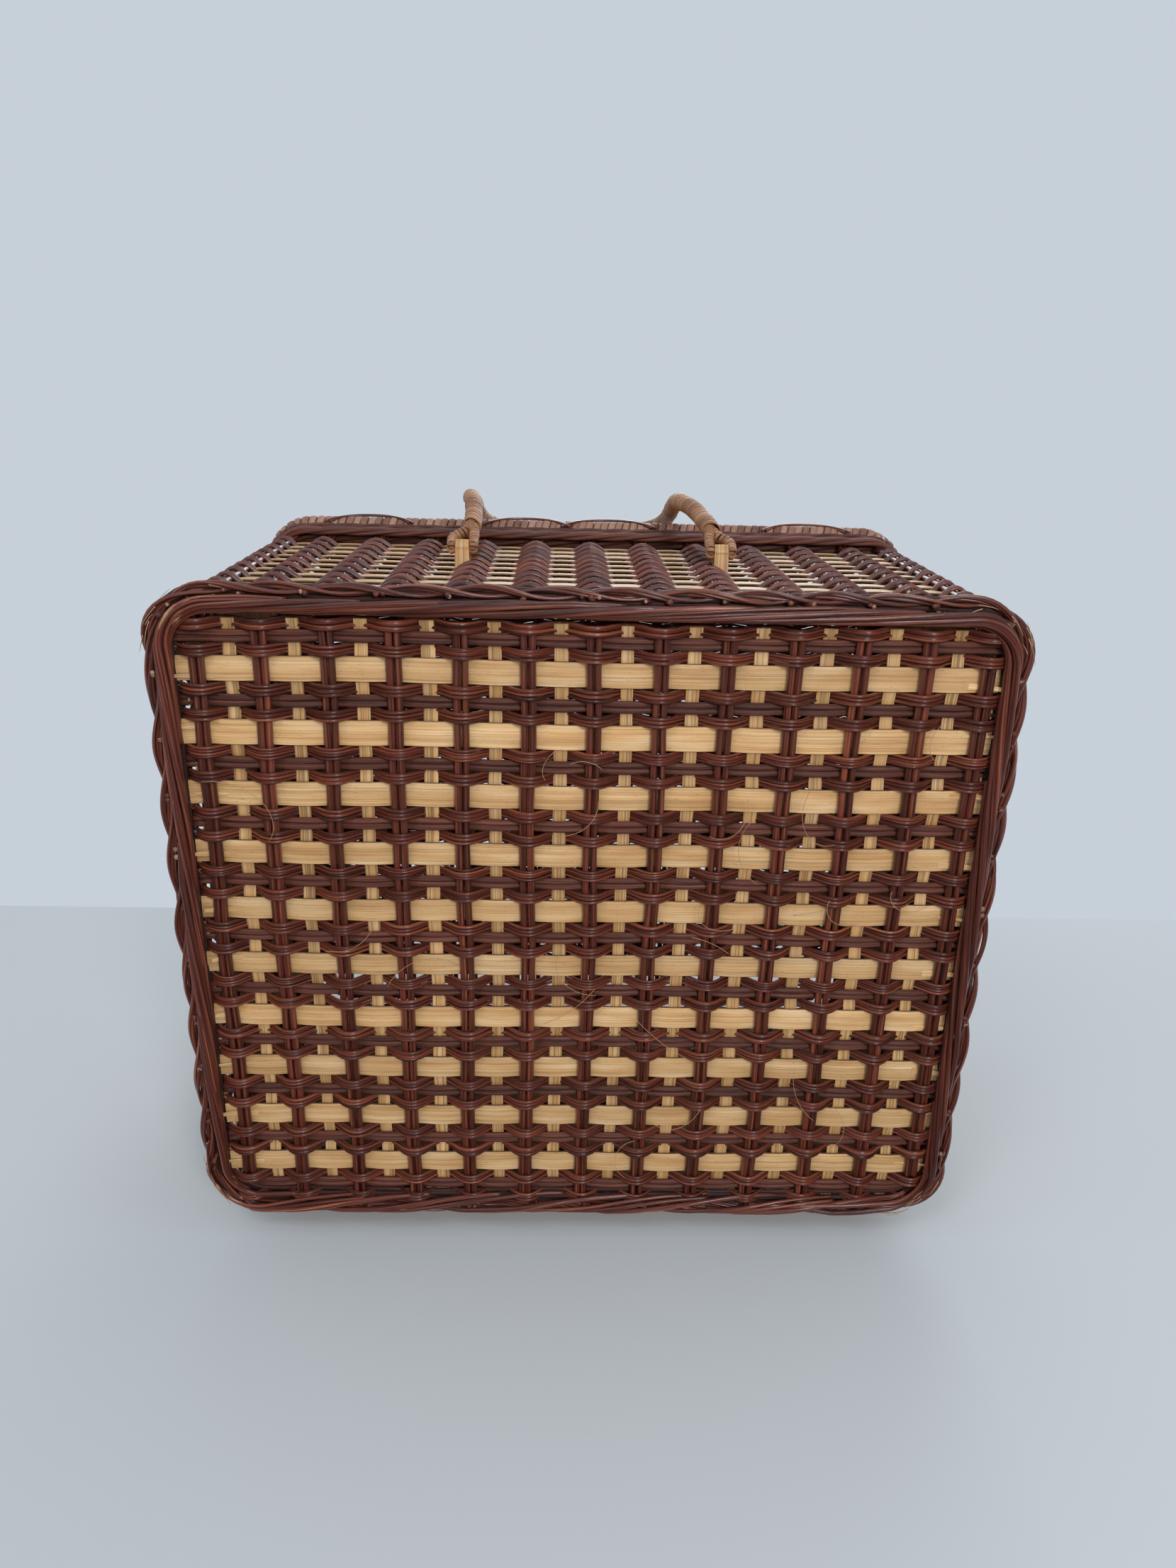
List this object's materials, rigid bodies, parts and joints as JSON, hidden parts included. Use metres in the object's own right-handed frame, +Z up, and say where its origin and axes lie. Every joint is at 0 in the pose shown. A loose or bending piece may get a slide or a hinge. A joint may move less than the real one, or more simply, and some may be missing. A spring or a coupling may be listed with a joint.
{
  "type": "laundry hamper",
  "caption": "Rectangular two-tone wicker laundry hamper with a woven base, a drop-in hinged lid and a swinging carrying handle on its front wall.",
  "frame": {"origin": "middle of the base, on the surface the hamper stands on", "axes": "+Z up through the lid, -Y out of the front wall that carries the handle, +X to the right seen from the front"},
  "size_m": [0.3968, 0.3781, 0.2549],
  "materials": {
    "dark_reed": "glossy red-brown lacquered rattan reed",
    "matte_reed": "matte brown rattan reed",
    "bamboo": "natural bamboo slat with fine grain",
    "cane": "natural split cane",
    "wrapping": "tan cane wrapping"
  },
  "bodies": {
    "basket": {"foot_border": "dark_reed", "base_stakes": "dark_reed", "base_slats": "bamboo", "base_strips": "cane", "base_cross_reeds": "matte_reed", "base_weavers": "dark_reed", "wall_weavers": "dark_reed", "corner_stakes": "dark_reed", "top_band": "matte_reed", "lid_ledge": "matte_reed", "rim_rod": "bamboo", "rim_wrap": "wrapping", "rim_scallops": "dark_reed", "handle_staple_left": "cane", "handle_staple_right": "cane", "front_stakes": "dark_reed", "front_slats": "bamboo", "front_strips": "cane", "right_stakes": "dark_reed", "right_slats": "bamboo", "right_strips": "cane", "back_stakes": "dark_reed", "back_slats": "bamboo", "back_strips": "cane", "left_stakes": "dark_reed", "left_slats": "bamboo", "left_strips": "cane", "back_right_corner_slats": "bamboo", "back_left_corner_slats": "bamboo", "front_left_corner_slats": "bamboo", "front_right_corner_slats": "bamboo"},
    "lid": {"lid_frame": "bamboo", "lid_wrap": "wrapping", "lid_stakes": "dark_reed", "lid_slats": "bamboo", "lid_strips": "cane", "lid_cross_reeds": "matte_reed", "lid_weavers": "dark_reed", "hinge_loops": "cane"},
    "handle": {"handle_core": "bamboo", "handle_wrap": "wrapping", "handle_eye_left": "wrapping", "handle_eye_right": "wrapping"}
  },
  "joints": [
    {"name": "lid_open", "type": "hinge", "parent": "basket", "child": "lid", "pos_m": [0, 0.1725, 0.2092], "axis": [-1, 0, 0], "range_deg": [0, 100]},
    {"name": "handle_swing", "type": "hinge", "parent": "basket", "child": "handle", "pos_m": [0, -0.1755, 0.1109], "axis": [1, 0, 0], "range_deg": [0, 140]}
  ]
}
